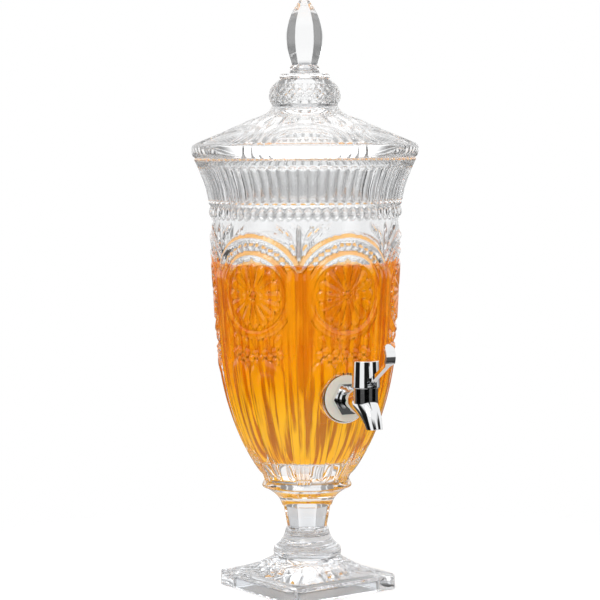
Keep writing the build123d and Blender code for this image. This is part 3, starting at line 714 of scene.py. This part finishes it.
def soft_surface(tree):
    """Milky silicone, a little uneven in gloss."""
    cloud = object_noise(tree, 400.0, 3.0)
    return {"Roughness": 0.32 + cloud * 0.15}


def drawn_surface(tree):
    """Drawn steel, with a fine grain in its gloss."""
    grain = object_noise(tree, 1500.0, 2.0)
    return {"Roughness": 0.22 + grain * 0.12}


def moulded_surface(tree):
    """Moulded plastic, with the fine spark texture of its tool."""
    grain = object_noise(tree, 2500.0, 2.0)
    bump = Value.node(tree, "ShaderNodeBump", {}, {"Height": grain, "Strength": 0.1, "Distance": 0.0002})
    return {"Normal": bump, "Roughness": 0.35 + grain * 0.1}


chrome = finish("chrome", {"Base Color": (0.86, 0.87, 0.88, 1), "Metallic": 1.0}, plated_surface)
silicone = finish("silicone", {
    "Base Color": (0.88, 0.81, 0.71, 1), "Specular IOR Level": 0.3,
    "Subsurface Weight": 0.3, "Subsurface Scale": 0.004}, soft_surface)
steel = finish("steel", {"Base Color": (0.58, 0.58, 0.59, 1), "Metallic": 1.0}, drawn_surface)
white_plastic = finish("white_plastic", {"Base Color": (0.85, 0.85, 0.83, 1)}, moulded_surface)
TAP_FINISHES = {
    "tap_body": chrome, "tap_cap": chrome, "lever": chrome,
    "outer_washer": silicone, "inner_washer": silicone, "stopper": silicone, "stem_seal": silicone,
    "lever_pin": steel,
    "lock_nut": white_plastic, "valve_stem": white_plastic, "stem_gland": white_plastic,
}
for node, material in TAP_FINISHES.items():
    dress(cad[node], material)

# Closing spring: a coil of drawn steel wire, loose between the stem's head and the ceiling of the cap.
# The head shortens it as the lever is pressed.
spring = bpy.data.objects.new("spring_coil", cad["closing_spring"].data.copy())
scene.collection.objects.link(spring)
dress(spring, steel)
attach(spring, "dispenser")
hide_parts("closing_spring")
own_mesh(spring)

# Lid and finial: clear pressed glass in one piece, a low fluted dome with a scalloped crown, a disc
# and a six-sided drop. A ring under the dome drops into the bowl's mouth. The mesh's columns start where
# one of them runs along an edge of the drop.
LID_COLUMNS = 336
LID_TURN = -26.0
FINIAL_SIDES = 6
EDGE_COLUMN = 4
LID_START = LID_TURN + 180 / FINIAL_SIDES - EDGE_COLUMN * 360 / LID_COLUMNS
LID_RING_LOW = 375.0
DISC_LEVEL, FINIAL_LEVEL, TOP_LEVEL = 451.0, 464.0, 527.0
pattern_turns = np.arange(LID_COLUMNS) * 360 / LID_COLUMNS + LID_START - LID_TURN
ring_outer = bowl_inside(LID_RING_LOW) - 0.8
ring_inner = ring_outer - 5.0
LID_INSIDE = [(10, 423.5), (18.5, 423.3), (24, 421.3), (42, 413.8), (61.3, 405.2), (76, 394.8),
              (ring_inner - 1.5, 390.2), (ring_inner, 388.5), (ring_inner, 376.0),
              (ring_inner + 1, 375.1), (ring_outer - 1, 375.1), (ring_outer, 376.0),
              (ring_outer, 382.2), (ring_outer + 0.8, 383.0), (96.8, 383.05)]
LID_EDGE = [(98.9, 384.6), (100.0, 387.2), (100.15, 390.0), (99.9, 392.4), (99.0, 394.4), (97.5, 395.5)]
lid_rings = [ring_points(radius, level, LID_COLUMNS, LID_START) for radius, level in LID_INSIDE + LID_EDGE]

# The dome with its swags and folds, then the lobed crown with its crossed grooves, pressed in one go with
# the rest of the lid. The dome's plain face lies a little under its raised lines.
LID_BROW, CROWN_FOOT, CROWN_TOP = 97.5, 29.0, 23.5
CROWN_LEVEL, CROWN_MIDDLE = 429.5, 440.0
CROWN_LOBES = 8
LOBE_DEPTH = 2.8
CROWN_SWELL = 5.0
CROWN_GROOVE, GROOVE_SLANT = 0.9, 1.9
SWAGS, SWAG_HALF, SWAG_HEIGHT = 6, 2.6, 1.1
SWAG_RADII = (30, 38)
FOLDS, FOLD_HEIGHT = 24, 1.2
LID_SETBACK = 1.4
DOME_ROWS, CROWN_ROWS = 30, 22
DOME = [(CROWN_FOOT, 46.5), (31.6, 42.5), (37.0, 38.8), (49.2, 33.5), (61.3, 28.2), (74.0, 22.5),
        (87.5, 17.0), (LID_BROW, 12.5)]
dome_radii, dome_rises = zip(*DOME)
for share in np.linspace(0.04, 1, DOME_ROWS):
    radius = LID_BROW + share * (CROWN_FOOT - LID_BROW)
    rise = np.interp(radius, dome_radii, dome_rises)
    in_swag = repeat(pattern_turns, SWAGS) * 360 / SWAGS
    swag = np.hypot(np.radians(in_swag) * radius, LID_BROW - radius)
    lines = sum(SWAG_HEIGHT * bead(swag - reach, SWAG_HALF) for reach in SWAG_RADII)
    folds = FOLD_HEIGHT * bead(repeat(pattern_turns, FOLDS) * 2, 1.02)
    folds = folds * smooth(32, 46, radius) * smooth(42, 46, swag)
    level = RIM_LEVEL + rise - LID_SETBACK + lines + folds
    lid_rings.append(ring_points(radius, level, LID_COLUMNS, LID_START))
for share in np.linspace(0, 1, CROWN_ROWS):
    level = CROWN_LEVEL + share * (DISC_LEVEL - CROWN_LEVEL)
    swell = CROWN_FOOT + share * (CROWN_TOP - CROWN_FOOT) + CROWN_SWELL * (1 - (2 * share - 1) ** 2)
    lobe = repeat(pattern_turns, CROWN_LOBES) * 2
    scallop = LOBE_DEPTH * (bead(lobe, 1.06) - 1)
    slant = (level - CROWN_MIDDLE) * GROOVE_SLANT
    crossed = np.maximum(bead(repeat(pattern_turns + slant, FOLDS), 0.16),
                         bead(repeat(pattern_turns - slant, FOLDS), 0.16))
    groove = crossed * smooth(433, 436, level) * (1 - smooth(445, 448, level))
    swell = swell + scallop * np.sin(math.pi * share) - CROWN_GROOVE * groove
    lid_rings.append(ring_points(swell, level, LID_COLUMNS, LID_START))
NECK = [(20.6, 451.3), (21.6, 452.2), (22.3, 453.7), (21.9, 455.3), (20.8, 456.3), (15.2, 456.6),
        (13.6, 457.2), (13.0, 458.6), (12.8, 460.0), (13.3, 461.0), (12.9, 462.4), (12.2, 463.6)]
lid_rings += [ring_points(radius, level, LID_COLUMNS, LID_START) for radius, level in NECK]
FINIAL = [(0.3, 11.0), (3, 12.0), (7, 13.4), (11, 14.6), (15, 15.5), (19, 16.1), (23, 16.4), (27, 16.35),
          (31, 15.85), (35, 15.0), (39, 13.75), (43, 12.1), (46, 10.7), (48.6, 9.35), (49.4, 8.7),
          (53, 6.4), (57, 4.0), (60.5, 2.1), (62.4, 1.2)]
for rise, radius in FINIAL:
    flat = radius * math.cos(math.radians(180 / FINIAL_SIDES))
    lid_rings.append(ring_points(facets(flat, FINIAL_SIDES, LID_TURN, LID_COLUMNS, LID_START),
                                 FINIAL_LEVEL + rise, LID_COLUMNS, LID_START))
lid = skin("lid_glass", lid_rings, (0, 0, 423.5), (0, 0, TOP_LEVEL))
shade(lid, 32)
dress(lid, clear_glass)
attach(lid, "lid")
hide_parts("lid", "finial")

# The studio: a pale table that runs off into white, soft light all round and grey cards at the sides,
# which draw the edges of the glass and the bands in the chrome.
TABLE_RADIUS = 0.9
TABLE_DROP = 0.0002
RUN_OFF_START, RUN_OFF_END = 0.12, 0.45
table_mesh = bpy.data.meshes.new("table")
table_form = bmesh.new()
bmesh.ops.create_circle(table_form, cap_ends=True, segments=96, radius=TABLE_RADIUS)
table_form.to_mesh(table_mesh)
table_form.free()
table = bpy.data.objects.new("table", table_mesh)
scene.collection.objects.link(table)
table.location.z = -TABLE_DROP
table_paint = bpy.data.materials.new("pale_table")
table_paint.use_nodes = True
paint = table_paint.node_tree
paint.nodes.remove(paint.nodes["Principled BSDF"])
place = Value.node(paint, "ShaderNodeTexCoord", {}, {}, "Object")
away = Value.node(paint, "ShaderNodeVectorMath", {"operation": "LENGTH"}, {0: place}, "Value")
matt = Value.node(paint, "ShaderNodeBsdfDiffuse", {}, {"Color": (0.8, 0.8, 0.8, 1)})
direct = Value.node(paint, "ShaderNodeLightPath", {}, {}, "Is Camera Ray")
glow = Value.node(paint, "ShaderNodeEmission", {}, {"Color": (1, 1, 1, 1), "Strength": 0.05 + direct * 0.4})
lit = Value.node(paint, "ShaderNodeAddShader", {}, {0: matt, 1: glow})
gone = Value.node(paint, "ShaderNodeBsdfTransparent", {}, {})
run_off = soft_step(away, RUN_OFF_START, RUN_OFF_END)
spread = Value.node(paint, "ShaderNodeMixShader", {}, {0: run_off, 1: lit, 2: gone})
paint.links.new(spread.socket, paint.nodes["Material Output"].inputs["Surface"])
dress(table, table_paint)

# The light of the studio: white all round, a brighter ceiling, and standing cards that show as dark bands in
# glass and chrome. A card has its place in degrees to the right of straight behind, a half width, a soft
# edge and, at the sides, a darkness. Edges in height are upward shares of a direction, start and end.
CAMERA_TURN = -26.0
SIDE_CARDS = [(38, 9, 3, 0.8), (142, 9, 4, 1.0), (68, 5, 3, 1.0), (98, 9, 4, 1.0), (21, 3, 2, 0.7)]
MIRROR_CARDS = [(-105, 21, 4), (172, 20, 4), (98, 18, 6)]
CEILING_EDGE, HORIZON = (0.4, 0.75), (-0.12, -0.03)
SIDE_CARD_TOP, MIRROR_CARD_TOP = (0.45, 0.75), (0.35, 0.6)
CEILING_GAIN, SIDE_DARK, MIRROR_DARK, FLOOR_DARK = 0.8, 0.92, 0.99, 0.92
AMBIENT = 0.8
world = bpy.data.worlds.new("studio")
scene.world = world
world.use_nodes = True
sky = world.node_tree
sky.nodes.remove(sky.nodes["Background"])
look = Value.node(sky, "ShaderNodeTexCoord", {}, {}, "Generated")
turned_look = Value.node(sky, "ShaderNodeVectorRotate", {"rotation_type": "Z_AXIS"},
                         {"Vector": look, "Angle": math.radians(-CAMERA_TURN)})
right, back, up = (
    Value.node(sky, "ShaderNodeSeparateXYZ", {}, {"Vector": turned_look}, axis) for axis in "XYZ")
azimuth = right.math("ARCTAN2", right, back) * (180 / math.pi)


def card(middle, half, soft):
    """A standing card: 1 within its half width and 0 beyond its soft edge."""
    off = Value.node(sky, "ShaderNodeMath", {"operation": "WRAP"},
                     {0: azimuth - middle, 1: 180.0, 2: -180.0})
    return 1 - soft_step(off.math("ABSOLUTE", off, 0.0), half, half + soft)


ceiling = soft_step(up, *CEILING_EDGE)
through_dark = 0
for middle, half, soft, dark in SIDE_CARDS:
    through_dark = (card(middle, half, soft) + card(-middle, half, soft)) * dark + through_dark
through_dark = through_dark * (1 - soft_step(up, *SIDE_CARD_TOP))
mirror_dark = 0
for middle, half, soft in MIRROR_CARDS:
    mirror_dark = card(middle, half, soft) + mirror_dark
mirror_dark = mirror_dark.math("MINIMUM", mirror_dark, 1.0) * (1 - soft_step(up, *MIRROR_CARD_TOP))
floor_dark = 1 - soft_step(up, *HORIZON)
mirrored = (1 - mirror_dark * MIRROR_DARK) * (1 - floor_dark * FLOOR_DARK)
seen_through = (1 - through_dark * SIDE_DARK) * (1 + ceiling * CEILING_GAIN)
is_camera, is_glossy, is_through = (
    Value.node(sky, "ShaderNodeLightPath", {}, {}, ray)
    for ray in ("Is Camera Ray", "Is Glossy Ray", "Is Transmission Ray"))
bounced = is_glossy * (1 - is_through)
brightness = (is_camera + is_through * seen_through + bounced * mirrored
              + (1 - is_camera - is_glossy.math("MAXIMUM", is_glossy, is_through)) * AMBIENT)
backdrop = Value.node(sky, "ShaderNodeBackground", {}, {"Color": (1, 1, 1, 1), "Strength": brightness})
sky.links.new(backdrop.socket, sky.nodes["World Output"].inputs["Surface"])

# The soft box: one large lamp, high on the left in front, which gives the table its soft shadow. Light goes
# through many walls of glass, so it may bounce often.
LAMP_PLACE, LAMP_AIM = Vector((-1.2, -0.9, 1.6)), Vector((0, 0, 0.25))
lamp_data = bpy.data.lights.new("soft_box", "AREA")
lamp_data.energy = 9.0
lamp_data.size = 0.8
lamp = bpy.data.objects.new("soft_box", lamp_data)
scene.collection.objects.link(lamp)
lamp.location = LAMP_PLACE
lamp.rotation_euler = (LAMP_AIM - LAMP_PLACE).to_track_quat("-Z", "Y").to_euler()

scene.cycles.max_bounces = 40
scene.cycles.transmission_bounces = 40
scene.cycles.glossy_bounces = 16
scene.cycles.transparent_max_bounces = 16

# The camera: a long lens a little over the middle of the dispenser, to the left of the tap, and tilted by a
# fraction of a degree.
CAMERA_LENS = 125.7
CAMERA_DISTANCE = 1.85
CAMERA_HEIGHT = 0.40
AIM_LEVEL = 0.2572
AIM_SIDE = 0.0052
CAMERA_ROLL = -0.33
camera_data = bpy.data.cameras.new("camera")
camera_data.lens = CAMERA_LENS
camera = bpy.data.objects.new("camera", camera_data)
scene.collection.objects.link(camera)
swing = math.radians(CAMERA_TURN)
camera.location = (CAMERA_DISTANCE * math.sin(swing), -CAMERA_DISTANCE * math.cos(swing), CAMERA_HEIGHT)
aim = Vector((-AIM_SIDE * math.cos(swing), -AIM_SIDE * math.sin(swing), AIM_LEVEL))
sight = (aim - camera.location).to_track_quat("-Z", "Y").to_matrix()
camera.rotation_euler = (sight @ Matrix.Rotation(math.radians(CAMERA_ROLL), 3, "Z")).to_euler()
scene.camera = camera
